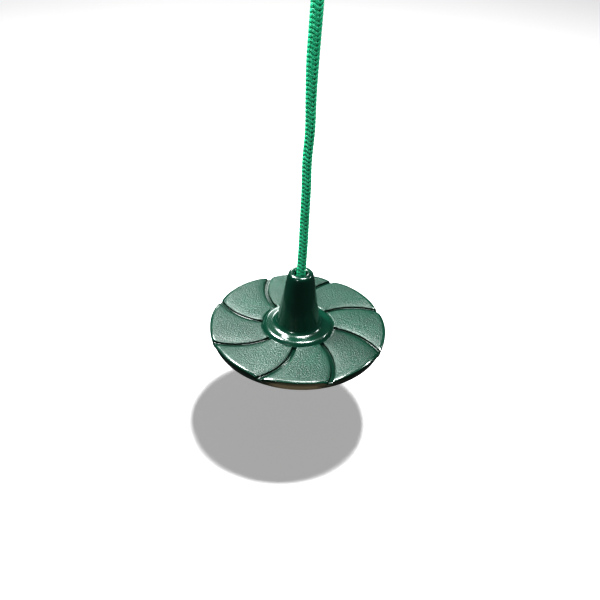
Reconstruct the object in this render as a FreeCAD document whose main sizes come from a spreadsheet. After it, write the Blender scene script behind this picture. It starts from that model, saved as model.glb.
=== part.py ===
import FreeCAD, Part
import math
import os
import Sketcher

# Disc swing: a moulded plastic disc with a tall hub, carried by one rope through its middle.
# Frame: millimetres, +Z up. The origin is the inside of the snap hook's top bow, where it bears on
# the hanger, and the swing hangs straight down the Z axis below it.
# The hook lies in the XZ plane, the rope's eye in the YZ plane.

SIZES = {
    # seat, measured from its panels' top face
    "seat_level": -673.0,
    "seat_radius": 140.0,
    "rim_height": 18.5,
    "rim_edge": 3.0,
    "rim_foot_radius": 135.5,
    "skin": 4.5,
    "skirt_wall": 4.5,
    "groove_depth": 4.6,
    "groove_width": 7.0,
    "groove_count": 8,
    "ridge_width": 14.0,
    "ridge_drop": 8.5,
    "rib_width": 3.5,
    "rib_drop": 16.5,
    "ring_rib_radius": 98.0,
    "ring_rib_drop": 14.5,
    "ring_rib_half": 1.8,
    "sweep_radius": 100.0,
    "sweep_centre_x": 41.4,
    "sweep_centre_y": -102.3,
    "groove_inner_angle": 81.0,
    "groove_outer_angle": 24.7,
    "rib_inner_angle": 93.7,
    "rib_outer_angle": 33.2,
    # flange and hub
    "flange_radius": 56.6,
    "flange_gap": 0.6,
    "flange_gap_depth": 1.2,
    "flange_roll": 7.0,
    "saucer_level": 5.0,
    "hub_foot_radius": 35.5,
    "hub_sweep": 11.0,
    "hub_neck_radius": 20.7,
    "hub_neck_level": 92.5,
    "hub_top": 103.0,
    "hub_crest_radius": 12.0,
    "hub_shoulder_radius": 17.5,
    "hub_mouth_radius": 10.2,
    "hub_wall": 4.0,
    "bore_radius": 9.0,
    "tube_radius": 13.0,
    "bearing_level": 12.0,
    "core_level": 86.0,
    "collar_radius": 33.5,
    "collar_wall": 3.5,
    "web_width": 3.5,
    # washer, rope, knot
    "washer_radius": 25.0,
    "washer_hole_radius": 8.6,
    "washer_thickness": 3.0,
    "rest_gap": 0.1,
    "rope_radius": 6.35,
    "knot_radius": 21.0,
    "knot_height": 41.0,
    "tail_length": 44.0,
    "tail_bead_radius": 7.2,
    "splice_foot_level": -318.0,
    "splice_full_level": -240.0,
    "splice_radius": 8.25,
    "throat_level": -118.0,
    "throat_height": 24.0,
    "throat_half_width": 13.2,
    "leg_offset": 6.6,
    # thimble, round the hook's bottom bow
    "eye_inner_radius": 12.0,
    "thimble_sheet": 1.5,
    "thimble_seat_gap": 0.1,
    "thimble_end_level": -104.0,
    "eye_gap": 0.3,
    # snap hook
    "wire_radius": 4.0,
    "bow_radius": 16.0,
    "bend_radius": 13.0,
    "top_bow_level": -9.0,
    "bottom_bow_level": -55.0,
    "tongue_thickness": 4.0,
    "tongue_half_width": 3.8,
    "hinge_level": -46.0,
    "gate_half_width": 4.2,
    "gate_thickness": 7.8,
    "gate_top_level": -13.4,
    "gate_corner": 2.2,
    "slot_width": 4.3,
    "hinge_slot_level": -41.5,
    "nose_slot_level": -25.0,
    "nose_half_width": 3.6,
    "nose_tip_level": -24.0,
    "notch_half_height": 2.2,
    "notch_depth_x": 17.3,
    "pin_radius": 1.5,
    "rivet_running_gap": 0.05,
    "latch_x": 15.6,
    "latch_level": -18.0,
    "rivet_head_radius": 2.7,
    "rivet_head_height": 0.9,
    "spring_bore_radius": 2.2,
    "spring_bore_top": -27.0,
    "plunger_radius": 2.05,
    "plunger_bottom": -41.8,
    "plunger_top": -37.0,
    "spring_radius": 1.6,
    "spring_wire_radius": 0.3,
    "spring_pitch": 1.5,
    "spring_length": 8.2,
}

doc = FreeCAD.newDocument("disc_swing")
sheet = doc.addObject("Spreadsheet::Sheet", "Dim")
for row, (alias, number) in enumerate(SIZES.items(), start=1):
    sheet.set(f"A{row}", alias.replace("_", " "))
    sheet.set(f"B{row}", str(number))
    sheet.setAlias(f"B{row}", alias)
doc.recompute()

NODES = []


# ---- helpers -------------------------------------------------------------------------------------

def value(expression):
    """The number that an expression over the sheet's aliases has now."""
    return float(sheet.evalExpression(expression))


def bind(target, path, expression):
    """Drive a property by the sheet. Aliases are written bare, as in 'seat_radius - skin'."""
    words = expression.replace("(", " ( ").replace(")", " ) ").split()
    target.setExpression(path, " ".join("Dim." + w if w in SIZES else w for w in words))


def new_body(label):
    body = doc.addObject("PartDesign::Body", label)
    body.Label = label
    NODES.append(body)
    return body


def origin_feature(body, role):
    return next(f for f in body.Origin.OriginFeatures if f.Role == role)


def new_sketch(body, role, level=None):
    """A sketch on one of the body's own origin planes, raised along its normal by an expression."""
    sketch = body.newObject("Sketcher::SketchObject", "Sketch")
    sketch.AttachmentSupport = [(origin_feature(body, role), "")]
    sketch.MapMode = "FlatFace"
    if level:
        bind(sketch, "AttachmentOffset.Base.z", level)
    return sketch


def pin(sketch, geometry, point, spot):
    """Hold a point of a sketch at a pair of expressions, measured from the sketch's origin."""
    for kind, axis, expression in (("DistanceX", -2, spot[0]), ("DistanceY", -1, spot[1])):
        if expression == "0":
            sketch.addConstraint(Sketcher.Constraint("PointOnObject", geometry, point, axis))
            continue
        rule = Sketcher.Constraint(kind, -1, 1, geometry, point, value(expression))
        bind(sketch, f"Constraints[{sketch.addConstraint(rule)}]", expression)


def outline(sketch, corners):
    """Add a closed polygon whose corners are pairs of expressions."""
    first = sketch.GeometryCount
    spots = [FreeCAD.Vector(value(x), value(y), 0) for x, y in corners]
    for here, there in zip(spots, spots[1:] + spots[:1]):
        sketch.addGeometry(Part.LineSegment(here, there), False)
    last = first + len(corners) - 1
    for side in range(first, last):
        sketch.addConstraint(Sketcher.Constraint("Coincident", side, 2, side + 1, 1))
    sketch.addConstraint(Sketcher.Constraint("Coincident", last, 2, first, 1))
    for side, corner in enumerate(corners, start=first):
        pin(sketch, side, 1, corner)


def circle(sketch, centre, radius):
    spot = FreeCAD.Vector(value(centre[0]), value(centre[1]), 0)
    shape = sketch.addGeometry(Part.Circle(spot, FreeCAD.Vector(0, 0, 1), value(radius)), False)
    pin(sketch, shape, 3, centre)
    rule = sketch.addConstraint(Sketcher.Constraint("Radius", shape, value(radius)))
    bind(sketch, f"Constraints[{rule}]", radius)


def arc_slot(sketch, centre, radius, half_width, end_angles):
    """A band along an arc: two concentric arcs closed by radial ends at two angles in degrees."""
    middle = FreeCAD.Vector(value(centre[0]), value(centre[1]), 0)
    low, high = (math.radians(value(angle)) for angle in end_angles)
    wide, narrow = f"{radius} + {half_width}", f"{radius} - {half_width}"
    for size in (wide, narrow):
        ring = Part.Circle(middle, FreeCAD.Vector(0, 0, 1), value(size))
        sketch.addGeometry(Part.ArcOfCircle(ring, low, high), False)
    for angle in (low, high):
        out = FreeCAD.Vector(math.cos(angle), math.sin(angle), 0)
        sketch.addGeometry(Part.LineSegment(middle + out * value(narrow), middle + out * value(wide)))
    pin(sketch, 0, 3, centre)
    sketch.addConstraint(Sketcher.Constraint("Coincident", 0, 3, 1, 3))
    for arc, size in ((0, wide), (1, narrow)):
        rule = sketch.addConstraint(Sketcher.Constraint("Radius", arc, value(size)))
        bind(sketch, f"Constraints[{rule}]", size)
    for line, end, angle in ((2, 1, end_angles[0]), (3, 2, end_angles[1])):
        sketch.addConstraint(Sketcher.Constraint("Coincident", line, 2, 0, end))
        sketch.addConstraint(Sketcher.Constraint("Coincident", line, 1, 1, end))
        rule = sketch.addConstraint(Sketcher.Constraint("Angle", line, math.radians(value(angle))))
        bind(sketch, f"Constraints[{rule}]", f"{angle} * 1 deg")


def feature(body, kind, sketch, length=None, midplane=False, upwards=False):
    """A Pad or Pocket of a sketch: by a length, about the sketch's plane, or turned round."""
    made = body.newObject("PartDesign::" + kind, kind)
    made.Profile = sketch
    if length:
        bind(made, "Length", length)
    if midplane:
        made.SideType = "Symmetric"
    made.Reversed = upwards
    return made


def turned(body, corners):
    """A solid of revolution about Z, from corners given as (radius, height)."""
    sketch = new_sketch(body, "XZ_Plane")
    outline(sketch, corners)
    made = body.newObject("PartDesign::Revolution", "Revolution")
    made.Profile = sketch
    made.ReferenceAxis = (sketch, ["V_Axis"])
    return made


# ---- seat ----------------------------------------------------------------------------------------

def seat_shell(body):
    """Disc, rim skirt, flange, hub shell and inner rope tube, turned as one shell, open below."""
    top_side = [
        ("bore_radius", "hub_neck_level"),
        ("hub_mouth_radius", "hub_top - 2"),
        ("hub_crest_radius", "hub_top"),
        ("hub_shoulder_radius", "hub_top - 2.2"),
        ("hub_neck_radius", "hub_neck_level"),
        ("hub_foot_radius - 1.9", "saucer_level + hub_sweep"),
        ("hub_foot_radius + 0.8", "saucer_level + 0.38 * hub_sweep"),
        ("hub_foot_radius + 0.42 * hub_sweep", "saucer_level + 0.12 * hub_sweep"),
        ("hub_foot_radius + hub_sweep", "saucer_level - 0.2"),
        ("flange_radius - 0.5 * flange_roll", "saucer_level - 0.17 * flange_roll"),
        ("flange_radius - 0.13 * flange_roll", "saucer_level - 0.5 * flange_roll"),
        ("flange_radius", "- flange_gap"),
        ("flange_radius", "- flange_gap_depth"),
        ("flange_radius + flange_gap", "- flange_gap_depth"),
        ("flange_radius + flange_gap", "0"),
        ("seat_radius - rim_edge", "0"),
        ("seat_radius", "- rim_edge"),
        ("seat_radius", "- 2 * rim_edge"),
    ]
    under_side = [
        ("rim_foot_radius", "- rim_height"),
        ("rim_foot_radius - skirt_wall", "- rim_height"),
        ("rim_foot_radius - skirt_wall - 0.4", "- skin"),
        ("ring_rib_radius + ring_rib_half + 0.3", "- skin"),
        ("ring_rib_radius + ring_rib_half", "- ring_rib_drop"),
        ("ring_rib_radius - ring_rib_half", "- ring_rib_drop"),
        ("ring_rib_radius - ring_rib_half - 0.3", "- skin"),
        ("flange_radius + 3.4", "- skin"),
        ("flange_radius + 3", "- rib_drop"),
        ("flange_radius - 1", "- rib_drop"),
        ("flange_radius - 1.4", "- skin"),
        ("collar_radius + collar_wall + 0.4", "- skin"),
        ("collar_radius + collar_wall", "- rib_drop"),
        ("collar_radius", "- rib_drop"),
        ("collar_radius - 0.6", "- skin"),
        ("hub_foot_radius - hub_wall - 1.3", "bearing_level"),
        ("hub_neck_radius - hub_wall + 1.0", "core_level"),
        ("tube_radius + 0.4", "core_level"),
        ("tube_radius", "bearing_level"),
        ("bore_radius", "bearing_level"),
    ]
    return turned(body, top_side + under_side)


def seat_spiral(body):
    """One groove with the ridge and the rib that back it underneath, all on one arc."""
    centre = ("sweep_centre_x", "sweep_centre_y")
    groove_ends = ("groove_outer_angle", "groove_inner_angle")
    rib_ends = ("rib_outer_angle", "rib_inner_angle")
    layers = (
        ("Pad", "- ridge_drop", "ridge_drop - skin + 1", "ridge_width / 2", rib_ends),
        ("Pad", "- rib_drop", "rib_drop - skin + 1", "rib_width / 2", rib_ends),
        ("Pocket", None, "groove_depth", "groove_width / 2", groove_ends),
    )
    made = []
    for kind, level, length, half_width, ends in layers:
        sketch = new_sketch(body, "XY_Plane", level)
        arc_slot(sketch, centre, "sweep_radius", half_width, ends)
        made.append(feature(body, kind, sketch, length))
    return made


def hub_web(body):
    """One web between the rope tube and the hub's shell."""
    sketch = new_sketch(body, "XZ_Plane")
    outline(sketch, [
        ("tube_radius - 2.5", "bearing_level"),
        ("hub_foot_radius - hub_wall + 0.5", "bearing_level"),
        ("hub_neck_radius - hub_wall + 2.6", "core_level + 1"),
        ("tube_radius - 2.5", "core_level + 1"),
    ])
    return feature(body, "Pad", sketch, "web_width", midplane=True)


def make_seat():
    body = new_body("seat_body")
    seat_shell(body)
    repeats = seat_spiral(body) + [hub_web(body)]
    pattern = body.newObject("PartDesign::PolarPattern", "Spirals")
    pattern.Originals = repeats
    pattern.Axis = (origin_feature(body, "Z_Axis"), [""])
    pattern.Angle = 360
    bind(pattern, "Occurrences", "groove_count")
    body.Tip = pattern
    bind(body, "Placement.Base.z", "seat_level")


def make_washer():
    """Flat steel washer between the knot and the end of the seat's rope tube."""
    body = new_body("seat_washer")
    turned(body, [
        ("washer_hole_radius", "bearing_level - rest_gap - washer_thickness"),
        ("washer_radius", "bearing_level - rest_gap - washer_thickness"),
        ("washer_radius", "bearing_level - rest_gap - 0.6"),
        ("washer_radius - 0.6", "bearing_level - rest_gap"),
        ("washer_hole_radius", "bearing_level - rest_gap"),
    ])
    bind(body, "Placement.Base.z", "seat_level")


# ---- rope ----------------------------------------------------------------------------------------

KNOT_TOP = "seat_level + bearing_level - 2 * rest_gap - washer_thickness"
KNOT_BOTTOM = KNOT_TOP + " - knot_height"
TAIL_END = KNOT_BOTTOM + " - tail_length"


def make_rope_line():
    """The taut rope from the knot, up through the seat's hub, to the foot of the splice."""
    body = new_body("rope_line")
    turned(body, [
        ("0", KNOT_TOP),
        ("rope_radius", KNOT_TOP),
        ("rope_radius", "splice_foot_level"),
        ("0", "splice_foot_level"),
    ])
    return body


def make_splice():
    """The rope over its own buried tail: tapered below, full in the middle, oval at the throat."""
    body = new_body("rope_splice")
    full_top = "throat_level - throat_height"
    turned(body, [
        ("0", "splice_foot_level"),
        ("rope_radius", "splice_foot_level"),
        ("splice_radius", "splice_full_level"),
        ("splice_radius", full_top),
        ("0", full_top),
    ])
    lower = new_sketch(body, "XY_Plane", full_top)
    circle(lower, ("0", "0"), "splice_radius")
    upper = new_sketch(body, "XY_Plane", "throat_level")
    oval = Part.Ellipse(FreeCAD.Vector(0, value("throat_half_width"), 0),
                        FreeCAD.Vector(value("rope_radius"), 0, 0), FreeCAD.Vector(0, 0, 0))
    upper.addGeometry(oval, False)
    throat = body.newObject("PartDesign::AdditiveLoft", "Throat")
    throat.Profile = lower
    throat.Sections = [upper]
    return body


CROWN_LEVEL = ("bottom_bow_level - bend_radius + wire_radius + eye_gap + thimble_sheet"
               " + thimble_seat_gap + rope_radius")
CROWN_ARC = "eye_inner_radius + thimble_sheet + thimble_seat_gap + rope_radius"
CROWN_CENTRE = f"{CROWN_LEVEL} - ( {CROWN_ARC} )"


def leg_direction():
    """Unit vector in (y, z), down the +Y leg of the eye, and the point where its arc ends."""
    arc = value(CROWN_ARC)
    centre = FreeCAD.Vector(0, value(CROWN_CENTRE), 0)
    throat = FreeCAD.Vector(value("leg_offset"), value("throat_level"), 0)
    reach = (throat - centre).Length
    lean = math.asin(arc / reach) - math.atan2(throat.x, centre.y - throat.y)
    along = FreeCAD.Vector(-math.sin(lean), -math.cos(lean), 0)
    leaves = centre + FreeCAD.Vector(math.cos(lean), -math.sin(lean), 0) * arc
    return along, leaves


def eye_path(body, end_level):
    """Half of the eye's middle line in the YZ plane: the crown's arc and one straight leg."""
    sketch = new_sketch(body, "YZ_Plane")
    along, leaves = leg_direction()
    centre = FreeCAD.Vector(0, value(CROWN_CENTRE), 0)
    foot = leaves + along * ((value(end_level) - leaves.y) / along.y)
    start_angle = math.atan2(leaves.y - centre.y, leaves.x)
    ring = Part.Circle(centre, FreeCAD.Vector(0, 0, 1), value(CROWN_ARC))
    sketch.addGeometry(Part.ArcOfCircle(ring, start_angle, math.pi / 2), False)
    sketch.addGeometry(Part.LineSegment(leaves, foot), False)
    pin(sketch, 0, 3, ("0", CROWN_CENTRE))
    sketch.addConstraint(Sketcher.Constraint("PointOnObject", 0, 2, -2))
    rule = sketch.addConstraint(Sketcher.Constraint("Radius", 0, value(CROWN_ARC)))
    bind(sketch, f"Constraints[{rule}]", CROWN_ARC)
    sketch.addConstraint(Sketcher.Constraint("Tangent", 0, 1, 1, 1))
    rule = sketch.addConstraint(Sketcher.Constraint("DistanceY", -1, 1, 1, 2, value(end_level)))
    bind(sketch, f"Constraints[{rule}]", end_level)
    sketch.addConstraint(Sketcher.Constraint("DistanceX", -1, 1, 1, 2, foot.x))
    return sketch


def sweep_half_eye(body, section, path):
    pipe = body.newObject("PartDesign::AdditivePipe", "Leg")
    pipe.Profile = section
    pipe.Spine = path
    mirror = body.newObject("PartDesign::Mirrored", "OtherLeg")
    mirror.Originals = [pipe]
    mirror.MirrorPlane = (origin_feature(body, "XZ_Plane"), [""])
    body.Tip = mirror


def make_eye():
    """The rope's eye round the thimble: crown and two legs, which run into the splice's throat."""
    body = new_body("rope_eye")
    section = new_sketch(body, "XZ_Plane")
    circle(section, ("0", CROWN_LEVEL), "rope_radius")
    sweep_half_eye(body, section, eye_path(body, "throat_level"))
    return body


def make_thimble():
    """Teardrop thimble: a half-pipe of sheet steel that lines the eye and cradles the rope."""
    body = new_body("thimble")
    section = new_sketch(body, "XZ_Plane")
    middle = FreeCAD.Vector(0, value(CROWN_LEVEL), 0)
    inner = "rope_radius + thimble_seat_gap"
    outer = inner + " + thimble_sheet"
    for size in (inner, outer):
        ring = Part.Circle(middle, FreeCAD.Vector(0, 0, 1), value(size))
        section.addGeometry(Part.ArcOfCircle(ring, math.pi, 2 * math.pi), False)
    for side in (-1, 1):
        reach = FreeCAD.Vector(side, 0, 0)
        section.addGeometry(Part.LineSegment(middle + reach * value(inner),
                                             middle + reach * value(outer)), False)
    pin(section, 0, 3, ("0", CROWN_LEVEL))
    section.addConstraint(Sketcher.Constraint("Coincident", 0, 3, 1, 3))
    for arc, size in ((0, inner), (1, outer)):
        rule = section.addConstraint(Sketcher.Constraint("Radius", arc, value(size)))
        bind(section, f"Constraints[{rule}]", size)
    for line, end in ((2, 1), (3, 2)):
        section.addConstraint(Sketcher.Constraint("Coincident", line, 1, 0, end))
        section.addConstraint(Sketcher.Constraint("Coincident", line, 2, 1, end))
        section.addConstraint(Sketcher.Constraint("Horizontal", line))
    section.addConstraint(Sketcher.Constraint("PointOnObject", 0, 3, 2))
    sweep_half_eye(body, section, eye_path(body, "thimble_end_level"))
    return body


def make_knot():
    """Outer shape of the stopper knot, flat where it bears on the washer."""
    body = new_body("stopper_knot")
    quarter = "knot_height / 4"
    turned(body, [
        ("0", KNOT_BOTTOM),
        ("knot_radius * 0.6", KNOT_BOTTOM),
        ("knot_radius", f"{KNOT_BOTTOM} + {quarter}"),
        ("knot_radius", f"{KNOT_TOP} - {quarter}"),
        ("knot_radius * 0.7", KNOT_TOP),
        ("0", KNOT_TOP),
    ])


def make_tail():
    """The rope's tail below the knot, with its end melted into a bead."""
    body = new_body("rope_tail")
    turned(body, [
        ("0", TAIL_END),
        ("rope_radius - 1.2", TAIL_END),
        ("tail_bead_radius", f"{TAIL_END} + 2.5"),
        ("rope_radius", f"{TAIL_END} + 6"),
        ("rope_radius", KNOT_BOTTOM),
        ("0", KNOT_BOTTOM),
    ])


# ---- snap hook -----------------------------------------------------------------------------------

def hook_wire(body):
    """The bent round wire: two quarter bends and a short straight at each end, joined by a straight
    back. Its two ends face each other."""
    half_flat = "( bow_radius - bend_radius )"

    def bend(level, side, upwards):
        section = new_sketch(body, "XY_Plane", level)
        sign = "" if side > 0 else "- "
        bind(section, "AttachmentOffset.Base.x", sign + half_flat)
        circle(section, (sign + "bend_radius", "0"), "wire_radius")
        turn = body.newObject("PartDesign::Revolution", "Bend")
        turn.Profile = section
        turn.ReferenceAxis = (section, ["V_Axis"])
        turn.Angle = 90
        turn.Reversed = upwards == (side > 0)

    def crossing(level):
        section = new_sketch(body, "YZ_Plane")
        circle(section, ("0", level), "wire_radius")
        feature(body, "Pad", section, "2 * " + half_flat, midplane=True)

    bend("bottom_bow_level", 1, False)
    crossing("bottom_bow_level - bend_radius")
    bend("bottom_bow_level", -1, False)
    back = new_sketch(body, "XY_Plane", "bottom_bow_level")
    circle(back, ("- bow_radius", "0"), "wire_radius")
    feature(body, "Pad", back, "top_bow_level - bottom_bow_level")
    bend("top_bow_level", -1, True)
    crossing("top_bow_level + bend_radius")
    bend("top_bow_level", 1, True)


def tombstone(sketch, half_width, flat_level, round_level, end_side):
    """An outline with one straight end and one half-round end, about x = bow_radius."""
    x = value("bow_radius")
    half = value(half_width)
    flat, level = value(flat_level), value(round_level)
    corners = [FreeCAD.Vector(x + half, level, 0), FreeCAD.Vector(x + half, flat, 0),
               FreeCAD.Vector(x - half, flat, 0), FreeCAD.Vector(x - half, level, 0)]
    for here, there in zip(corners, corners[1:]):
        sketch.addGeometry(Part.LineSegment(here, there), False)
    ring = Part.Circle(FreeCAD.Vector(x, level, 0), FreeCAD.Vector(0, 0, 1), half)
    turn = (0, math.pi) if end_side > 0 else (math.pi, 2 * math.pi)
    sketch.addGeometry(Part.ArcOfCircle(ring, *turn), False)
    right, left = (1, 2) if end_side > 0 else (2, 1)
    links = ((0, 2, 1, 1), (1, 2, 2, 1), (0, 1, 3, right), (2, 2, 3, left))
    for link in links:
        sketch.addConstraint(Sketcher.Constraint("Coincident", *link))
    pin(sketch, 3, 3, ("bow_radius", round_level))
    pin(sketch, 1, 1, (f"bow_radius + {half_width}", flat_level))
    pin(sketch, 2, 1, (f"bow_radius - {half_width}", flat_level))
    sketch.addConstraint(Sketcher.Constraint("Horizontal", 3, 3, 0, 1))
    sketch.addConstraint(Sketcher.Constraint("Horizontal", 3, 3, 2, 2))
    rule = sketch.addConstraint(Sketcher.Constraint("Radius", 3, half))
    bind(sketch, f"Constraints[{rule}]", half_width)


def make_hook_body():
    """Wire body with a flat tongue at each end: one for the gate's hinge, one notched as the nose."""
    body = new_body("hook_body")
    hook_wire(body)
    hinge = new_sketch(body, "XZ_Plane")
    tombstone(hinge, "tongue_half_width", "bottom_bow_level - 1", "hinge_level", 1)
    feature(body, "Pad", hinge, "tongue_thickness", midplane=True)
    nose = new_sketch(body, "XZ_Plane")
    outline(nose, [
        ("bow_radius - nose_half_width", "top_bow_level + 1"),
        ("bow_radius + nose_half_width", "top_bow_level + 1"),
        ("bow_radius + nose_half_width", "nose_tip_level"),
        ("bow_radius - nose_half_width", "nose_tip_level"),
        ("bow_radius - nose_half_width", "latch_level - notch_half_height"),
        ("notch_depth_x", "latch_level - notch_half_height"),
        ("notch_depth_x", "latch_level + notch_half_height"),
        ("bow_radius - nose_half_width", "latch_level + notch_half_height"),
    ])
    feature(body, "Pad", nose, "tongue_thickness", midplane=True)
    hole = new_sketch(body, "XZ_Plane")
    circle(hole, ("bow_radius", "hinge_level"), "pin_radius")
    feature(body, "Pocket", hole, "tongue_thickness + 2", midplane=True)


def make_gate():
    """The gate: a flat bar, forked at both ends, bored for its spring."""
    body = new_body("hook_gate")
    bar = new_sketch(body, "XZ_Plane")
    tombstone(bar, "gate_half_width", "gate_top_level", "hinge_level", -1)
    blank = feature(body, "Pad", bar, "gate_thickness", midplane=True)
    doc.recompute()
    edges = blank.Shape.Edges
    side = value("gate_half_width")
    upright = [f"Edge{i}" for i, edge in enumerate(edges, start=1)
               if len(edge.Vertexes) == 2 and abs(edge.Vertexes[0].X - edge.Vertexes[1].X) < 1e-6
               and edge.BoundBox.ZLength > 3 * side]
    corners = body.newObject("PartDesign::Fillet", "Corners")
    corners.Base = (blank, upright)
    bind(corners, "Radius", "gate_corner")
    wide = "( gate_half_width + 1 )"
    for low, high in (("nose_slot_level", "gate_top_level + 1"),
                      ("hinge_level - gate_half_width - 1", "hinge_slot_level")):
        slot = new_sketch(body, "XZ_Plane")
        outline(slot, [(f"bow_radius - {wide}", low), (f"bow_radius + {wide}", low),
                       (f"bow_radius + {wide}", high), (f"bow_radius - {wide}", high)])
        feature(body, "Pocket", slot, "slot_width", midplane=True)
    holes = (("bow_radius", "hinge_level", "pin_radius + rivet_running_gap"),
             ("latch_x", "latch_level", "pin_radius"))
    for x, level, radius in holes:
        hole = new_sketch(body, "XZ_Plane")
        circle(hole, (x, level), radius)
        feature(body, "Pocket", hole, "gate_thickness + 2", midplane=True)
    bore = new_sketch(body, "XY_Plane", "hinge_slot_level")
    circle(bore, ("bow_radius", "0"), "spring_bore_radius")
    feature(body, "Pocket", bore, "spring_bore_top - hinge_slot_level", upwards=True)


def make_cross_pin(label, x, level, half_length, heads):
    """A round pin along Y, centred in the hook's plane, with a rivet head at each end or none."""
    body = new_body(label)
    shaft = [("0", f"- ( {half_length} )"), ("pin_radius", f"- ( {half_length} )"),
             ("pin_radius", half_length), ("0", half_length)]
    if heads:
        tip = f"( {half_length} + rivet_head_height )"
        lower = [("0", f"- {tip}"), ("pin_radius", f"- {tip}"),
                 ("rivet_head_radius", f"- ( {half_length} )")]
        upper = [("rivet_head_radius", half_length), ("pin_radius", tip), ("0", tip)]
        shaft = lower + shaft[1:3] + upper
    turned(body, shaft)
    body.Placement.Rotation = FreeCAD.Rotation(FreeCAD.Vector(1, 0, 0), 90)
    bind(body, "Placement.Base.x", x)
    bind(body, "Placement.Base.z", level)


def make_plunger():
    """The small plunger that the spring presses on the hinge tongue."""
    body = new_body("gate_plunger")
    turned(body, [
        ("0", "plunger_bottom"),
        ("plunger_radius - 0.5", "plunger_bottom"),
        ("plunger_radius", "plunger_bottom + 0.5"),
        ("plunger_radius", "plunger_top"),
        ("0", "plunger_top"),
    ])
    bind(body, "Placement.Base.x", "bow_radius")


def make_spring():
    """The compression spring inside the gate, a round wire along a helix."""
    helix = doc.addObject("Part::Helix", "SpringLine")
    bind(helix, "Radius", "spring_radius")
    bind(helix, "Pitch", "spring_pitch")
    bind(helix, "Height", "spring_length")
    section = doc.addObject("Part::Circle", "SpringWire")
    bind(section, "Radius", "spring_wire_radius")
    bind(section, "Placement.Base.x", "spring_radius")
    section.Placement.Rotation = FreeCAD.Rotation(FreeCAD.Vector(1, 0, 0), 90)
    spring = doc.addObject("Part::Sweep", "gate_spring")
    spring.Label = "gate_spring"
    spring.Sections = [section]
    spring.Spine = (helix, [])
    spring.Solid = True
    spring.Frenet = True
    bind(spring, "Placement.Base.x", "bow_radius")
    bind(spring, "Placement.Base.z", "plunger_top + spring_wire_radius + 0.3")
    NODES.append(spring)


make_seat()
make_washer()
rope_line = make_rope_line()
make_splice()
make_eye()
make_thimble()
make_knot()
make_tail()
make_hook_body()
make_gate()
make_cross_pin("gate_rivet", "bow_radius", "hinge_level", "gate_thickness / 2 + 0.1", True)
make_cross_pin("gate_latch_pin", "latch_x", "latch_level", "gate_thickness / 2", False)
make_plunger()
make_spring()
doc.recompute()

for item in doc.Objects:
    if {"Invalid", "Error"} & set(item.State):
        raise RuntimeError(f"{item.Label} did not build: {item.State}")

tube_volume = math.pi * value("rope_radius") ** 2 * (value("splice_foot_level") - value(KNOT_TOP))
print(f"rope tube: volume {rope_line.Shape.Volume:.0f}, section times length {tube_volume:.0f}")
print(f"eye: arc radius {value(CROWN_ARC):.2f}, the size of its thimble")

os.makedirs("parts", exist_ok=True)
for node in NODES:
    shape = node.Shape
    if shape.isNull() or not shape.isValid() or len(shape.Solids) != 1:
        raise RuntimeError(f"{node.Label} is not one valid solid")
    shape.exportStep(f"parts/{node.Label}.step")
    box = shape.BoundBox
    print(f"{node.Label}: {shape.Volume / 1000:.2f} cm3, z {box.ZMin:.1f} to {box.ZMax:.1f}")
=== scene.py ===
import math

import bpy
import numpy as np
from mathutils import Matrix, Vector


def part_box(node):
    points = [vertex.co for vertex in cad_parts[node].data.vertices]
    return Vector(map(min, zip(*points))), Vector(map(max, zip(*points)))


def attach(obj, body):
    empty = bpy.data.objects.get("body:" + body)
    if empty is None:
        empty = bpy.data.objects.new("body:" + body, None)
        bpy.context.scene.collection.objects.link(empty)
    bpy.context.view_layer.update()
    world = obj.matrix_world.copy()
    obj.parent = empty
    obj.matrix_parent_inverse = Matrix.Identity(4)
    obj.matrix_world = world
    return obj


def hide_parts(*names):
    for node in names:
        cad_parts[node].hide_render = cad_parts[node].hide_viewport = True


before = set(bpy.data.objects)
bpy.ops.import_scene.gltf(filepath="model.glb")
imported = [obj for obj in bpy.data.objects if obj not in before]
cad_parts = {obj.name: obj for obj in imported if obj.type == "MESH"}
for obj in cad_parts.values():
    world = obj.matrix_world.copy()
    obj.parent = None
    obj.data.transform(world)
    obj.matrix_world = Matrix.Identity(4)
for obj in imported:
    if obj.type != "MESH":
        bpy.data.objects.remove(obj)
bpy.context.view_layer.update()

MM = 0.001
HUB_HEIGHT = 103 * MM
SEAT_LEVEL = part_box("seat_body")[1].z - HUB_HEIGHT   # the panels' top face
SCENE = bpy.context.scene
SCENE.view_settings.view_transform = "Standard"
SCENE.view_settings.gamma = 0.8


# ---- camera -------------------------------------------------------------------------------------

CAMERA_ELEVATION = math.radians(38.22)
CAMERA_DISTANCE = 1.45         # from the middle of the seat's top
CAMERA_ROLL = math.radians(3.45)
CAMERA_LENS, CAMERA_SENSOR = 54.49, 36   # mm
AIM_RIGHT, AIM_UP = 3.22 * MM, 38.57 * MM   # the view's middle, from the seat's middle


def make_camera():
    """The camera, south of the seat and above it, rolled a little about the line to its middle."""
    low, high = math.sin(CAMERA_ELEVATION), math.cos(CAMERA_ELEVATION)
    turn = Matrix.Rotation(-CAMERA_ROLL, 3, Vector((0, high, -low)))
    right, up = turn @ Vector((1, 0, 0)), turn @ Vector((0, low, high))
    seat = Vector((0, 0, SEAT_LEVEL))
    place = seat - CAMERA_DISTANCE * Vector((0, high, -low))
    ahead = (seat + AIM_RIGHT * right + AIM_UP * up - place).normalized()
    right = ahead.cross(up).normalized()
    up = right.cross(ahead)
    axes = Matrix((right, up, -ahead)).transposed()
    camera = bpy.data.objects.new("camera", bpy.data.cameras.new("camera"))
    SCENE.collection.objects.link(camera)
    camera.data.sensor_width = CAMERA_SENSOR
    camera.data.lens = CAMERA_LENS
    camera.matrix_world = Matrix.Translation(place) @ axes.to_4x4()
    SCENE.camera = camera


make_camera()


# ---- node material helpers ----------------------------------------------------------------------

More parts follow.
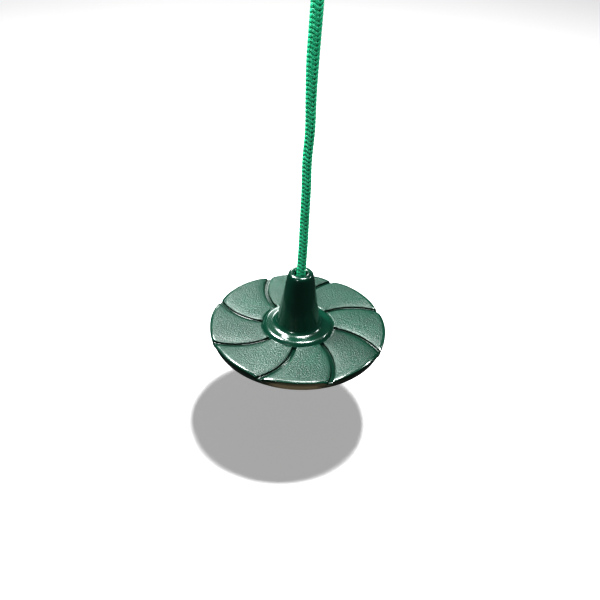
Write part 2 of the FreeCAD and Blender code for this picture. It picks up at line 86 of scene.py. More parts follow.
class Nodes:
    """A material's node tree, with short calls to add and link nodes."""

    def __init__(self, name):
        self.material = bpy.data.materials.new(name)
        self.material.use_nodes = True
        self.tree = self.material.node_tree
        self.shader = self.tree.nodes["Principled BSDF"]

    def add(self, kind, **values):
        node = self.tree.nodes.new("ShaderNode" + kind)
        for key, value in values.items():
            setattr(node, key, value)
        return node

    def link(self, source, target):
        self.tree.links.new(source, target)

    def attribute(self, name, output="Fac"):
        return self.add("Attribute", attribute_name=name).outputs[output]

    def position(self):
        return self.add("TexCoord").outputs["Object"]

    def scaled(self, vector, factors):
        node = self.add("VectorMath", operation="MULTIPLY")
        self.link(vector, node.inputs[0])
        node.inputs[1].default_value = factors
        return node.outputs[0]

    def noise(self, vector, scale, detail=2.0, roughness=0.5):
        node = self.add("TexNoise")
        node.inputs["Scale"].default_value = scale
        node.inputs["Detail"].default_value = detail
        node.inputs["Roughness"].default_value = roughness
        self.link(vector, node.inputs["Vector"])
        return node.outputs["Fac"]

    def cells(self, vector, scale, feature="F1"):
        node = self.add("TexVoronoi", feature=feature)
        node.inputs["Scale"].default_value = scale
        self.link(vector, node.inputs["Vector"])
        return node.outputs["Distance"]

    def math(self, operation, a, b):
        node = self.add("Math", operation=operation)
        for socket, value in zip(node.inputs, (a, b)):
            if isinstance(value, (int, float)):
                socket.default_value = value
            else:
                self.link(value, socket)
        return node.outputs[0]

    def ranged(self, value, low, high, to_low, to_high):
        node = self.add("MapRange")
        for key, number in zip(("From Min", "From Max", "To Min", "To Max"),
                               (low, high, to_low, to_high)):
            node.inputs[key].default_value = number
        self.link(value, node.inputs["Value"])
        return node.outputs["Result"]

    def mixed(self, factor, a, b):
        node = self.add("Mix", data_type="RGBA")
        self.link(factor, node.inputs["Factor"])
        for socket, colour in ((node.inputs["A"], a), (node.inputs["B"], b)):
            if isinstance(colour, tuple):
                socket.default_value = (*colour, 1)
            else:
                self.link(colour, socket)
        return node.outputs["Result"]

    def bump(self, height, distance, strength=1.0):
        node = self.add("Bump")
        node.inputs["Distance"].default_value = distance
        node.inputs["Strength"].default_value = strength
        self.link(height, node.inputs["Height"])
        return node.outputs["Normal"]

    def set(self, **values):
        """Set the shader's inputs to constants, or link them to other nodes' outputs."""
        for key, value in values.items():
            socket = self.shader.inputs[key.replace("_", " ")]
            if isinstance(value, (int, float, tuple)):
                socket.default_value = (*value, 1) if isinstance(value, tuple) else value
            else:
                self.link(value, socket)


# ---- materials ----------------------------------------------------------------------------------

def seat_plastic():
    """Dark green polyethylene: pebble grain where the mesh's grain attribute is 1 and gloss
    elsewhere, with painted shade that darkens the grooves and thins their coat."""
    n = Nodes("seat_plastic")
    place = n.position()
    grain = n.attribute("grain")
    groove_shade = n.attribute("painted_shade")
    smooth = n.math("SUBTRACT", 1.0, grain)
    pebbles = n.cells(place, 540.0, "SMOOTH_F1")
    fine = n.noise(place, 1150.0, 2.0)
    mottle = n.noise(place, 420.0, 2.0, 0.6)
    cloud = n.noise(place, 26.0, 3.0)
    tone = n.math("ADD", n.math("MULTIPLY", cloud, 0.25), n.math("MULTIPLY", mottle, 0.75))
    tone = n.ranged(tone, 0.40, 0.60, 0.0, 1.0)
    grained = n.mixed(tone, (0.001, 0.026, 0.015), (0.005, 0.052, 0.032))
    glossy = n.mixed(n.ranged(cloud, 0.35, 0.65, 0.0, 1.0),
                     (0.0016, 0.034, 0.020), (0.0025, 0.042, 0.024))
    # Painted shade: the grooves' walls and floors mixed towards near black.
    glossy = n.mixed(groove_shade, glossy, (0.0003, 0.006, 0.003))
    base = n.mixed(grain, glossy, grained)
    texture = n.math("ADD", n.math("MULTIPLY", pebbles, 0.7), n.math("MULTIPLY", fine, 0.4))
    texture = n.math("ADD", texture, n.math("MULTIPLY", mottle, 1.1))
    texture = n.math("MULTIPLY", texture, grain)
    ripple = n.math("MULTIPLY", n.noise(place, 60.0, 2.0), smooth)
    height = n.math("ADD", texture, n.math("MULTIPLY", ripple, 0.05))
    rough_panel = n.math("MULTIPLY", n.ranged(cloud, 0.3, 0.7, 0.40, 0.35), grain)
    rough_gloss = n.math("MULTIPLY", n.ranged(cloud, 0.3, 0.7, 0.19, 0.25), smooth)
    coat = n.math("MULTIPLY", n.math("MAXIMUM", n.math("SUBTRACT", smooth, groove_shade), 0.0), 0.6)
    n.set(Base_Color=base, Roughness=n.math("ADD", rough_panel, rough_gloss), IOR=1.52,
          Specular_IOR_Level=0.6, Coat_Weight=coat, Coat_Roughness=0.13,
          Normal=n.bump(height, 0.8 * MM))
    return n.material


def rope_fibre():
    """Green polypropylene filaments that run along each strand, with painted shade in the gaps."""
    n = Nodes("rope_fibre")
    fibre = n.attribute("fibre", "Vector")
    streaks = n.noise(n.scaled(fibre, (3.0, 5.5, 7.0)), 1.0, 3.0, 0.6)
    fine = n.noise(n.scaled(fibre, (7.0, 17.0, 7.0)), 1.0, 2.0, 0.6)
    base = n.mixed(n.ranged(streaks, 0.35, 0.65, 0.0, 1.0),
                   (0.003, 0.25, 0.105), (0.040, 0.62, 0.35))
    # Painted shade: the gaps between strands and under crossings mixed towards dark green.
    base = n.mixed(n.attribute("painted_shade"), base, (0.0, 0.085, 0.030))
    height = n.math("ADD", streaks, n.math("MULTIPLY", fine, 0.7))
    n.set(Base_Color=base, Roughness=n.ranged(fine, 0.3, 0.7, 0.26, 0.40),
          Specular_IOR_Level=0.36, Normal=n.bump(height, 0.5 * MM, 0.8))
    return n.material


def melted_end():
    """The rope's end, melted to a darker glassy bead."""
    n = Nodes("melted_end")
    place = n.position()
    lumps = n.noise(place, 220.0, 3.0)
    base = n.mixed(n.ranged(lumps, 0.3, 0.7, 0.0, 1.0),
                   (0.004, 0.07, 0.03), (0.010, 0.13, 0.06))
    n.set(Base_Color=base, Roughness=n.ranged(lumps, 0.3, 0.7, 0.2, 0.45),
          Normal=n.bump(lumps, 0.6 * MM, 0.6))
    return n.material


def zinc_steel():
    """Bright zinc plate with a faint spangle and fine handling marks."""
    n = Nodes("zinc_steel")
    place = n.position()
    spangle = n.cells(place, 420.0)
    cloud = n.noise(place, 90.0, 4.0, 0.6)
    tone = n.math("ADD", n.math("MULTIPLY", spangle, 0.5), n.math("MULTIPLY", cloud, 0.5))
    base = n.mixed(n.ranged(tone, 0.2, 0.7, 0.0, 1.0),
                   (0.50, 0.51, 0.53), (0.70, 0.71, 0.72))
    marks = n.noise(n.scaled(place, (1.0, 1.0, 6.0)), 700.0, 3.0)
    n.set(Base_Color=base, Metallic=1.0, Roughness=n.ranged(cloud, 0.3, 0.7, 0.22, 0.40),
          Normal=n.bump(n.math("ADD", cloud, n.math("MULTIPLY", marks, 0.4)), 0.1 * MM, 0.6))
    return n.material


def pale_floor():
    """A matt near-white floor with a faint glow, so that its unshaded part is pure white."""
    n = Nodes("pale_floor")
    cloud = n.noise(n.position(), 3.0, 2.0)
    base = n.mixed(cloud, (0.80, 0.80, 0.80), (0.83, 0.83, 0.83))
    n.set(Base_Color=base, Roughness=0.9, Specular_IOR_Level=0.1,
          Emission_Color=(1.0, 1.0, 1.0), Emission_Strength=0.44)
    return n.material


PLASTIC, ROPE, BEAD, STEEL = seat_plastic(), rope_fibre(), melted_end(), zinc_steel()


def new_mesh(name, points, faces, material, smooth_angle=None):
    """A smooth-shaded mesh object. Edges where its faces meet at more than smooth_angle degrees
    are sharp."""
    mesh = bpy.data.meshes.new(name)
    mesh.from_pydata(points.tolist(), [], faces.tolist())
    mesh.materials.append(material)
    mesh.polygons.foreach_set("use_smooth", [True] * len(mesh.polygons))
    if smooth_angle:
        mesh.set_sharp_from_angle(angle=math.radians(smooth_angle))
    mesh.update()
    piece = bpy.data.objects.new(name, mesh)
    SCENE.collection.objects.link(piece)
    return piece


def add_attribute(piece, name, values):
    """Store a number or a vector for each of a mesh's points, for its material to read."""
    kind = "FLOAT" if values.ndim == 1 else "FLOAT_VECTOR"
    attribute = piece.data.attributes.new(name, kind, "POINT")
    field = "value" if kind == "FLOAT" else "vector"
    attribute.data.foreach_set(field, values.astype(np.float32).ravel())


# ---- rope ---------------------------------------------------------------------------------------

ROPE_RADIUS = 6.35 * MM
LAY_LENGTH = 39 * MM       # one turn of a strand round the rope
STRANDS = 12
STRAND_SIDES = 8
STRAND_HALF_WIDTH, STRAND_HALF_HEIGHT = 2.1 * MM, 2.0 * MM
STRAND_STEP = 1.3 * MM     # between a strand's rings
FLOAT_LIFT = 1.0 * MM      # how far a strand rises over the strands that it crosses
CREST_RISE = 1.15 * MM     # how far the strands' crests stand outside the rope's radius

# The rope's route in metres: up the middle of the seat, round the thimble's crown and back into
# itself.
ROUTE = [
    (0.0, 0.0, -0.6642), (0.0, 0.0, -0.625), (-0.0002, 0.0, -0.580), (0.0008, 0.0, -0.525),
    (0.0003, 0.0, -0.475), (0.0004, 0.0, -0.425), (-0.0015, 0.0, -0.378), (0.0011, 0.0, -0.335),
    (-0.0010, 0.0, -0.285), (-0.0016, 0.0, -0.235), (-0.0006, 0.0, -0.190), (0.0, 0.0008, -0.152),
    (0.0, 0.0040, -0.127), (0.0, 0.0090, -0.1105), (0.0, 0.0204, -0.0776), (0.0, 0.0187, -0.0655),
    (0.0, 0.00746, -0.05575), (0.0, -0.00746, -0.05575), (0.0, -0.0187, -0.0655),
    (0.0, -0.0204, -0.0776), (0.0, -0.0090, -0.1105), (0.0, -0.0040, -0.127), (0.0, -0.0005, -0.148),
]


def spline_points(name, route, resolution):
    """The points of a smooth quadratic spline over a route, read from the curve itself."""
    data = bpy.data.curves.new(name, "CURVE")
    data.dimensions = "3D"
    data.resolution_u = resolution
    spline = data.splines.new("NURBS")
    spline.points.add(len(route) - 1)
    for point, place in zip(spline.points, route):
        point.co = (*place, 1)
    spline.order_u = 3
    spline.use_endpoint_u = True
    curve = bpy.data.objects.new(name, data)
    mesh = bpy.data.meshes.new_from_object(curve)
    points = np.array([v.co for v in mesh.vertices])
    bpy.data.objects.remove(curve)
    bpy.data.meshes.remove(mesh)
    return points


def along(line):
    """Distance along a line at each of its points."""
    return np.concatenate([[0], np.cumsum(np.linalg.norm(np.diff(line, axis=0), axis=1))])


def resampled(line, step):
    """Evenly spaced points on a line, their distances and two side directions carried along."""
    distance = along(line)
    at = np.linspace(0, distance[-1], max(8, int(round(distance[-1] / step))) + 1)
    points = np.stack([np.interp(at, distance, line[:, k]) for k in range(3)], 1)
    tangents = np.gradient(points, axis=0)
    tangents /= np.linalg.norm(tangents, axis=1)[:, None]
    side = np.cross(tangents[0], (0.0, 1.0, 0.0))
    sides = []
    for tangent in tangents:
        side = side - tangent * side.dot(tangent)
        side /= np.linalg.norm(side)
        sides.append(side)
    sides = np.array(sides)
    return points, at, sides, np.cross(tangents, sides)


def braid(name, line, radius):
    """A hollow braid of twelve strands, over two and under two. radius gives the rope's radius at
    each distance along the line."""
    points, at, side, other = resampled(line, STRAND_STEP)
    outer = radius(at) + CREST_RISE
    size = outer / ROPE_RADIUS
    ring = np.linspace(0, 2 * math.pi, STRAND_SIDES, endpoint=False)
    cos, sin = np.cos(ring), np.sin(ring)
    body = np.sign(cos) * np.abs(cos) ** 0.9
    crown = np.sign(sin) * np.abs(sin) ** 0.95
    count = len(at)
    i, j = np.meshgrid(np.arange(count - 1), np.arange(STRAND_SIDES), indexing="ij")
    all_points, all_faces, fibres, painted_shade = [], [], [], []
    rng = np.random.default_rng(4)
    for strand in range(STRANDS):
        way = 1 if strand % 2 else -1
        angle = (way * (2 * math.pi * at / LAY_LENGTH)
                 + 2 * math.pi * (strand // 2) / (STRANDS / 2))
        lift = way * np.tanh(2.2 * np.sin(3 * angle)) * FLOAT_LIFT
        middle = outer - STRAND_HALF_HEIGHT - FLOAT_LIFT + lift
        out = side * np.cos(angle)[:, None] + other * np.sin(angle)[:, None]
        centre = points + out * middle[:, None]
        run = np.gradient(centre, axis=0)
        run /= np.linalg.norm(run, axis=1)[:, None]
        across = np.cross(run, out)
        across /= np.linalg.norm(across, axis=1)[:, None]
        raised = np.cross(across, run)
        rings = (centre[:, None]
                 + across[:, None] * (body[:, None] * STRAND_HALF_WIDTH)[None] * size[:, None, None]
                 + raised[:, None] * (crown[:, None] * STRAND_HALF_HEIGHT)[None])
        all_points.append(rings.reshape(-1, 3))
        first = strand * count * STRAND_SIDES
        a = first + i * STRAND_SIDES + j
        b = first + i * STRAND_SIDES + (j + 1) % STRAND_SIDES
        faces = np.stack([a, b, b + STRAND_SIDES, a + STRAND_SIDES], -1)
        all_faces.append(faces.reshape(-1, 4))
        fibres.append(np.stack([
            np.repeat(at / MM * 0.05, STRAND_SIDES), np.tile(body, count),
            np.full(count * STRAND_SIDES, rng.random() * 9)], 1))
        # Painted shade: each strand darker away from its crest, and more where it dives under
        # another.
        under = np.clip(0.5 - 0.5 * lift / FLOAT_LIFT, 0, 1)
        low = np.clip(1.22 - 1.35 * crown[None] + 1.0 * under[:, None], 0, 1)
        painted_shade.append(low.ravel())
    piece = new_mesh(name, np.concatenate(all_points), np.concatenate(all_faces), ROPE)
    add_attribute(piece, "fibre", np.concatenate(fibres))
    add_attribute(piece, "painted_shade", np.concatenate(painted_shade))
    return piece


def rope_radius(line):
    """The rope's radius along the route: fatter over its buried tail, thinner where it is buried."""
    distance = along(line)
    crown = int(np.argmax(line[:, 2]))
    up = line[: crown + 1, 2]
    levels = np.array([-0.640, -0.590, -0.345, -0.300, -0.272, -0.258, -0.230, -0.150, -0.122])
    radii = np.array([5.6, 6.35, 6.35, 6.85, 7.2, 7.6, 8.1, 8.1, 6.3]) * MM
    rising = np.interp(up, levels, radii)
    buried = 3.4 * MM
    falling = np.interp(line[crown + 1:, 2], [-0.150, -0.124], [buried, ROPE_RADIUS])
    return lambda at: np.interp(at, distance, np.concatenate([rising, falling]))


def make_rope():
    """The rope from the knot to the eye, and the points that it follows."""
    line = spline_points("route", ROUTE, 12)
    rope = braid("rope", line, rope_radius(line))
    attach(rope, "rope")
    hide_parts("rope_line", "rope_splice", "rope_eye")
    return rope, line


def pulled_knot():
    """The middle line of an overhand knot in mm, drawn up by pulling its two ends along Z."""
    gap, turns_apart, rope_width = 3.2, 7, 13.1   # turns_apart in points along the line
    pulls, settles = 1000, 4
    t = np.linspace(-2.35, 2.35, 400)
    loop = np.stack([7 * (t ** 4 - 4 * t ** 2) + 14, t ** 5 - 10 * t, 9 * (3 * t - t ** 3)], 1)
    distance = along(loop)
    at = np.linspace(0, distance[-1], int(distance[-1] / gap) + 1)
    points = np.stack([np.interp(at, distance, loop[:, k]) for k in range(3)], 1)
    index = np.arange(len(points))
    apart = np.abs(index[:, None] - index[None]) >= turns_apart
    for _ in range(pulls):
        points[0, 2] += 0.35
        points[-1, 2] -= 0.35
        points[[0, -1], :2] = 0
        points[1:-1] += 0.2 * (0.5 * (points[:-2] + points[2:]) - points[1:-1])
        for _ in range(settles):
            between = points[None] - points[:, None]
            far = np.linalg.norm(between, axis=2) + 1e-9
            overlap = np.where(apart, np.maximum(rope_width - far, 0), 0)
            push = (between * (overlap / far)[..., None]).sum(1)
            points -= 0.4 * push / np.maximum(1, (overlap > 0).sum(1))[:, None]
            for first in (0, 1):
                here, there = points[first:-1:2], points[first + 1::2]
                here = here[: len(there)]
                step = there - here
                length = np.linalg.norm(step, axis=1)[:, None]
                move = 0.5 * (length - gap) / length * step
                here += move
                there -= move
    return points


def end_bead(name, place, along_rope, radius):
    """The melted end of a cut rope: a rounded cap, its axis along the rope."""
    profile = np.array([(0.80, 9.0), (1.0, 6.6), (1.04, 4.2), (0.97, 2.2), (0.74, 0.8),
                        (0.40, 0.15), (0.02, 0.0)])   # share of the radius, depth in mm
    sides = 28
    turn = np.linspace(0, 2 * math.pi, sides, endpoint=False)
    side = np.cross(along_rope, (1.0, 0.0, 0.0))
    side /= np.linalg.norm(side)
    other = np.cross(along_rope, side)
    rings = []
    for share, depth in profile:
        wobble = 1 + 0.035 * np.sin(3 * turn + depth) + 0.02 * np.sin(5 * turn)
        reach = (share * radius * wobble)[:, None]
        rings.append(place - along_rope * depth * MM
                     + reach * (side * np.cos(turn)[:, None] + other * np.sin(turn)[:, None]))
    points = np.concatenate(rings)
    i, j = np.meshgrid(np.arange(len(profile) - 1), np.arange(sides), indexing="ij")
    a, b = i * sides + j, i * sides + (j + 1) % sides
    faces = np.stack([a, b, b + sides, a + sides], -1).reshape(-1, 4)
    return new_mesh(name, points, faces, BEAD)


def make_knot():
    """The stopper knot under the washer, the tail that hangs from it and the tail's sealed end."""
    top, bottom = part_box("stopper_knot")[1].z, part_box("rope_tail")[0].z
    knot = pulled_knot() * MM + (-5.0 * MM, 8.0 * MM, top - 26.8 * MM)
    inside = knot[(knot[:, 2] < top - 4 * MM) & (knot[:, 2] > bottom + 24 * MM)]
    end = np.array([0.001, 0.0125, bottom + 5.5 * MM])
    line = np.concatenate([[(0, 0, top + 5 * MM), (0, 0, top + 2 * MM)], inside[::2], [end]])
    line = spline_points("knot_route", line, 4)
    knot = braid("knot", line, lambda at: np.interp(at, [0, 20 * MM], [5.2 * MM, 5.7 * MM]))
    run = (line[-1] - line[-8]) / np.linalg.norm(line[-1] - line[-8])
    bead = end_bead("tail_seal", line[-1] + run * 4.5 * MM, run, 6.9 * MM)
    for piece in (knot, bead):
        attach(piece, "rope")
    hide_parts("stopper_knot", "rope_tail")
    return knot, bead


rope, rope_path = make_rope()
knot, bead = make_knot()


# ---- seat ---------------------------------------------------------------------------------------

# The seat is worked out in mm from the panels' top face.
SECTORS = 8
SWEEP_RADIUS = 100.0                # the grooves' middle lines are arcs of this radius
SWEEP_CENTRE = (41.4, -102.3)
BORE_RADIUS = 9.0
FLANGE_RADIUS = 56.6
PANEL_RADIUS = 57.2                 # the panels' inner edge
GRAIN_RADII = (58.0, 137.2)         # the panels are grained between these
COLLAR_RADIUS = 37.0
SKIRT_RADIUS = 131.0
RIM_FOOT = (133.2, -18.5)
RIB_DROP, RIDGE_DROP, SKIN = 16.5, 8.5, 4.5   # how far down the underside's parts reach
GROOVE_FLOOR, GROOVE_DEEPENS = 5.4, 1.7   # depth by the flange, and what the rim's end adds
GROOVE_FOOT, GROOVE_EDGE = 3.2, 3.7   # half its width at the floor and at the top
PANEL_EDGE = 4.3                    # from a groove's middle line to where its panel's top begins
ROLL_WIDTH, LIP_WIDTH = 13.0, 3.0   # the panel's rolled edge, and the tighter roll at its lip


def sweep_angle(radius):
    """Angle of a groove's middle line at each radius, and how far the line leans from radial."""
    far = math.hypot(*SWEEP_CENTRE)
    start = math.atan2(SWEEP_CENTRE[1], SWEEP_CENTRE[0])

    def angle(r):
        return start + np.arccos((r ** 2 + far ** 2 - SWEEP_RADIUS ** 2) / (2 * r * far))

    slope = (angle(radius + 0.1) - angle(radius - 0.1)) / 0.2
    return angle(radius), np.arctan(radius * slope)


def rounded(corners):
    """A dense outline through (radius, height, fillet) corners, its corners rounded by arcs."""
    corners = [np.array(c, float) for c in corners]
    outline = []
    befores, afters = corners[-1:] + corners[:-1], corners[1:] + corners[:1]
    for before, corner, after in zip(befores, corners, afters):
        here, size = corner[:2], corner[2]
        back, ahead = before[:2] - here, after[:2] - here
        back_length, ahead_length = np.linalg.norm(back), np.linalg.norm(ahead)
        back, ahead = back / back_length, ahead / ahead_length
        half = math.acos(np.clip(back.dot(ahead), -1, 1)) / 2
        if size <= 0 or half > 1.55:
            outline.append(here)
            continue
        reach = min(size / math.tan(half), 0.49 * back_length, 0.49 * ahead_length)
        size = reach * math.tan(half)
        centre = here + (back + ahead) / np.linalg.norm(back + ahead) * size / math.sin(half)
        first, last = here + back * reach - centre, here + ahead * reach - centre
        turn = math.atan2(first[0] * last[1] - first[1] * last[0], first.dot(last))
        count = max(3, int(math.ceil(abs(turn) / math.radians(13))))
        for t in np.linspace(0, turn, count + 1):
            cos, sin = math.cos(t), math.sin(t)
            turned = first[0] * cos - first[1] * sin, first[0] * sin + first[1] * cos
            outline.append(centre + turned)
    return outline


def divided(outline, longest):
    """The closed outline with its long runs divided, where longest(point) says how finely."""
    fine = []
    for here, there in zip(outline, outline[1:] + outline[:1]):
        count = max(1, int(math.ceil(np.linalg.norm(there - here) / longest((here + there) / 2))))
        fine += [here + (there - here) * k / count for k in range(count)]
    return np.array(fine)


# The seat's outline as (radius, height, fillet) corners: over the top, then back below.
TOP_CORNERS = [
    (BORE_RADIUS, 12.0, 0.5), (9.2, 101.2, 3.4), (18.5, 101.2, 7.6), (20.7, 92.5, 0),
    (35.2, 5.4, 15.0), (52.2, 4.7, 9.0), (56.6, -1.2, 0.2), (56.8, -1.2, 0.2), (57.2, 0.0, 0.4),
    (137.6, 0.0, 1.0), (139.8, -1.2, 0.9), (139.9, -6.5, 2.5), (135.4, -18.5, 2.2),
]
UNDER_CORNERS = [
    (131.0, -18.5, 1.2), (130.6, -4.5, 2.0), (100.1, -4.5, 1.2), (99.8, -14.5, 0.8),
    (96.2, -14.5, 0.8), (95.9, -4.5, 1.2), (60.0, -4.5, 1.2), (59.6, -16.5, 0.8),
    (55.6, -16.5, 0.8), (55.2, -4.5, 1.2), (37.4, -4.5, 1.2), (37.0, -16.5, 0.8),
    (33.5, -16.5, 0.8), (32.9, -4.5, 2.0), (30.2, 12.0, 0), (17.7, 86.0, 2.5),
    (13.4, 86.0, 1.6), (13.0, 12.0, 0.5),
]


def row_spacing(point):
    """The longest step between the mesh's rows near a point of the outline."""
    radius, height = point
    if height > 2 and radius < 34:
        return 14.0
    if height > -1 and radius > PANEL_RADIUS:
        return 2.6
    return 4.8 if radius > PANEL_RADIUS else 6.0


def ease(x):
    """A smooth step from 0 to 1."""
    x = np.clip(x, 0, 1)
    return x * x * (3 - 2 * x)


# Distances of the mesh's columns from a groove's middle line, in mm, where they follow it.
NEAR_COLUMNS = np.array([0.0, 1.4, 1.75, 2.1, 2.9, 3.15, 3.35, 3.55, 3.75, 4.0, 4.5, 5.2, 6.1,
                         7.1, 8.2])
RIB_HALF_WIDTH = 2.1       # the columns up to here keep their distance at every radius
PANEL_COLUMNS = 14


def column_angles(radius, lean):
    """The columns' angles over one sector at one radius, and their distances from the groove."""
    sector = 2 * math.pi / SECTORS
    scale = 1 / (radius * math.cos(lean))
    limit = 0.44 * sector / scale
    squeeze = min(1.0, (limit - RIB_HALF_WIDTH) / (NEAR_COLUMNS[-1] - RIB_HALF_WIDTH))
    near = np.where(NEAR_COLUMNS <= RIB_HALF_WIDTH, NEAR_COLUMNS,
                    RIB_HALF_WIDTH + (NEAR_COLUMNS - RIB_HALF_WIDTH) * squeeze)
    last = near[-1] * scale
    inner = np.linspace(last, sector - last, PANEL_COLUMNS + 2)[1:-1]
    angles = np.concatenate([near * scale, inner, sector - near[:0:-1] * scale])
    distance = np.minimum(angles, sector - angles) / scale
    return angles, distance


def groove_profile():
    """The share of a groove's depth that is cut at each distance from its middle line."""
    corners = [(-9, -GROOVE_FLOOR, 0), (GROOVE_FOOT, -GROOVE_FLOOR, 0.5), (GROOVE_EDGE, 0.0, 1.1),
               (9, 0, 0), (9, 9, 0), (-9, 9, 0)]
    line = np.array([p for p in rounded(corners) if p[1] < 0.01])
    line = line[np.argsort(line[:, 0], kind="stable")]
    return lambda distance: -np.interp(distance, line[:, 0], line[:, 1]) / GROOVE_FLOOR


def panel_rows(r, z, distance, groove):
    """Height, grain and painted groove shade across a sector's top at one radius: crowned panels
    between grooves."""
    across = np.clip(1 - (distance - PANEL_EDGE) / (distance.max() - PANEL_EDGE), 0, 1)
    roll = np.clip(1 - (distance - PANEL_EDGE) / ROLL_WIDTH, 0, 1)
    lip = np.clip(1 - (distance - PANEL_EDGE) / LIP_WIDTH, 0, 1)
    outward = ease((r - 62) / 78)
    crown = (0.3 + 1.9 * outward) * across ** 2.0 + 1.3 * roll ** 2.0 * ease((r - 57) / 12)
    crown = crown + 0.45 * lip ** 2 * ease((r - 57) / 5)
    wall = groove(distance)
    drop = crown + (GROOVE_FLOOR + GROOVE_DEEPENS * outward - crown) * wall
    fades = float(ease((z + 13.0) / 12.0))          # down the rim
    begins = float(ease((r - 56.9) / 0.6))          # at the flange
    # Painted shade in the grooves, strongest on their walls.
    painted_shade = np.clip(5 * wall * (1.1 - wall), 0, 1) * begins * float(z > -6)
    inside = GRAIN_RADII[0] < r < GRAIN_RADII[1] and z > -0.5
    grain = np.where(distance > GROOVE_EDGE, 1.0, 0.0) * float(inside)
    return z - drop * fades * begins, grain, painted_shade


def make_seat():
    """The seat as one closed mesh: its outline swept round in eight sectors that follow the
    grooves."""
    groove = groove_profile()
    outline = divided(rounded(TOP_CORNERS + UNDER_CORNERS), row_spacing)
    radius, height = outline.T
    rows = len(outline)
    start = int(np.argmin(np.hypot(radius - BORE_RADIUS, height - 12.5)))
    outline = np.roll(outline, -start, axis=0)
    radius, height = outline.T
    top = np.arange(rows) <= int(np.argmin(np.hypot(radius - RIM_FOOT[0], height - RIM_FOOT[1])))
    grid = []
    grain_rows, painted_shade_rows = [], []
    for r, z, above in zip(radius, height, top):
        guide = max(r, FLANGE_RADIUS) if above else r
        swept, lean = sweep_angle(np.array(max(guide, 34.0)))
        swept = float(swept)
        if guide <= COLLAR_RADIUS:
            swept *= float(ease((guide - 33.5) / 3.5))
        angles, distance = column_angles(max(guide, 8.0), float(lean) if guide > 34 else 0.0)
        level = np.full(len(angles), z)
        grain = np.zeros(len(angles))
        painted_shade = np.zeros(len(angles))
        if above and r > 56.95:
            level, grain, painted_shade = panel_rows(r, z, distance, groove)
        if not above:
            level = under_height(r, z, distance)
        around = angles + swept
        grid.append(np.stack([r * np.cos(around), r * np.sin(around), level], 1))
        grain_rows.append(grain)
        painted_shade_rows.append(painted_shade)
    grid, grain_rows, painted_shade_rows = np.array(grid), np.array(grain_rows), np.array(painted_shade_rows)
    sectors = []
    for k in range(SECTORS):
        cos, sin = math.cos(2 * math.pi * k / SECTORS), math.sin(2 * math.pi * k / SECTORS)
        turn = np.array([[cos, sin, 0], [-sin, cos, 0], [0, 0, 1]])
        sectors.append(grid @ turn)
    points = np.concatenate(sectors, axis=1)
    grain = np.concatenate([grain_rows] * SECTORS, axis=1)
    painted_shade = np.concatenate([painted_shade_rows] * SECTORS, axis=1)
    columns = points.shape[1]
    i, j = np.meshgrid(np.arange(rows), np.arange(columns), indexing="ij")
    next_row, next_column = (i + 1) % rows, (j + 1) % columns
    faces = np.stack([i * columns + j, i * columns + next_column,
                      next_row * columns + next_column, next_row * columns + j], -1).reshape(-1, 4)
    points = points.reshape(-1, 3) * MM + (0, 0, SEAT_LEVEL)
    seat = new_mesh("seat", points, faces[:, ::-1], PLASTIC, smooth_angle=40)
    add_attribute(seat, "grain", grain.ravel())
    add_attribute(seat, "painted_shade", painted_shade.ravel())
    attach(seat, "seat")
    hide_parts("seat_body")


def under_height(r, z, distance):
    """Height of the underside at one radius: ribs and ridges under the grooves, webs in the hub."""
    level = np.full(len(distance), z)
    rib = ease((RIB_HALF_WIDTH - distance) / 0.4)
    if r < 30.3 and z > 11.9:
        return np.where(r > 13.05, level + (12.0 - level) * rib, level)
    if COLLAR_RADIUS - 0.2 < r < SKIRT_RADIUS:
        ridge = ease((7.3 - distance) / 1.6)
        level = np.minimum(level, -SKIN - (RIDGE_DROP - SKIN) * ridge)
        level = np.minimum(level, -SKIN - (RIB_DROP - SKIN) * rib)
    return level


make_seat()


# ---- metal parts --------------------------------------------------------------------------------

for node in ("seat_washer", "thimble", "hook_body", "hook_gate", "gate_rivet", "gate_latch_pin",
             "gate_plunger", "gate_spring"):
    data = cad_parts[node].data
    data.materials.clear()
    data.materials.append(STEEL)


# ---- floor and light ----------------------------------------------------------------------------

FLOOR_LEVEL = SEAT_LEVEL - 0.2    # the seat hangs clear of it


def make_floor():
    """A pale floor below the seat, which takes a shadow and throws no light back."""
    mesh = bpy.data.meshes.new("floor")
    half = 6.0
    corners = [(-half, -half, FLOOR_LEVEL), (half, -half, FLOOR_LEVEL),
               (half, half, FLOOR_LEVEL), (-half, half, FLOOR_LEVEL)]
    mesh.from_pydata(corners, [], [(0, 1, 2, 3)])
    mesh.materials.append(pale_floor())
    floor = bpy.data.objects.new("floor", mesh)
    SCENE.collection.objects.link(floor)
    floor.visible_diffuse = floor.visible_glossy = floor.visible_shadow = False
    return floor


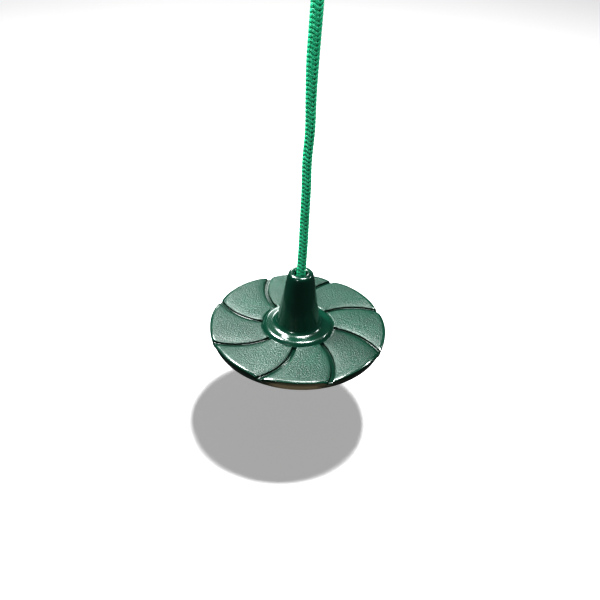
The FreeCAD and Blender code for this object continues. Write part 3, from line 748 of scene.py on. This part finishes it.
def soft_light(name, place, target, size, power, long_side=(1, 0, 0), colour=(1, 1, 1)):
    """A rectangular light in metres from the seat's middle, its first side along long_side."""
    data = bpy.data.lights.new(name, "AREA")
    data.shape = "RECTANGLE"
    data.size, data.size_y = size
    data.energy = power
    data.color = colour
    lamp = bpy.data.objects.new(name, data)
    SCENE.collection.objects.link(lamp)
    back = (Vector(place) - Vector(target)).normalized()
    side = Vector(long_side)
    side = (side - back * side.dot(back)).normalized()
    axes = Matrix((side, back.cross(side), back)).transposed()
    from_seat = Vector(place) + Vector((0, 0, SEAT_LEVEL))
    lamp.matrix_world = Matrix.Translation(from_seat) @ axes.to_4x4()
    return lamp


def light_link(lamps, state, *pieces):
    """Let lamps light only these pieces (INCLUDE), or all but these (EXCLUDE)."""
    group = bpy.data.collections.new("lit_" + lamps[0].name)
    for piece in pieces:
        group.objects.link(piece)
    for member in group.collection_objects:
        member.light_linking.link_state = state
    for lamp in lamps:
        lamp.light_linking.receiver_collection = group


def make_light(floor):
    """Soft studio light that leaves out the floor, two more lamps for the rope alone and one for
    the floor alone."""
    middle, high = (0, 0, 0), (0, 0, 0.33)
    studio = [
        soft_light("key", (0.34, 0.12, 1.9), middle, (0.75, 0.3), 61),
        soft_light("over_left", (-0.72, 0.34, 1.35), middle, (0.5, 0.22), 62,
                   long_side=(1, -1, 0)),
        soft_light("back_high", (-0.60, 0.80, 1.50), middle, (0.5, 0.3), 15),
        soft_light("back_low", (-0.28, 1.42, 0.62), middle, (0.5, 0.3), 6),
        soft_light("front_left", (-0.66, -1.20, 0.70), middle, (0.22, 0.16), 5,
                   long_side=(1, -0.5, 0)),
        soft_light("right", (0.98, 0.35, 0.84), middle, (0.16, 0.16), 4),
        soft_light("below", (0.2, -0.8, -1.4), middle, (1.6, 1.6), 6,
                   colour=(1.0, 0.74, 0.46)),
    ]
    rope_lights = [
        soft_light("rope_left", (-1.0, -0.9, 0.6), high, (0.2, 0.6), 13, long_side=(1, -1, 0)),
        soft_light("rope_right", (0.9, -0.9, 0.6), high, (0.2, 0.6), 7, long_side=(1, 1, 0)),
    ]
    floor_light = soft_light("floor_light", (0.25, 0.1, 1.9), middle, (0.22, 0.22), 110)
    light_link(studio, "EXCLUDE", floor)
    light_link(rope_lights, "INCLUDE", rope)
    light_link([floor_light], "INCLUDE", floor)
    world = bpy.data.worlds.new("world")
    SCENE.world = world
    world.use_nodes = True
    background = world.node_tree.nodes["Background"]
    background.inputs["Color"].default_value = (1, 1, 1, 1)
    background.inputs["Strength"].default_value = 0.04


make_light(make_floor())
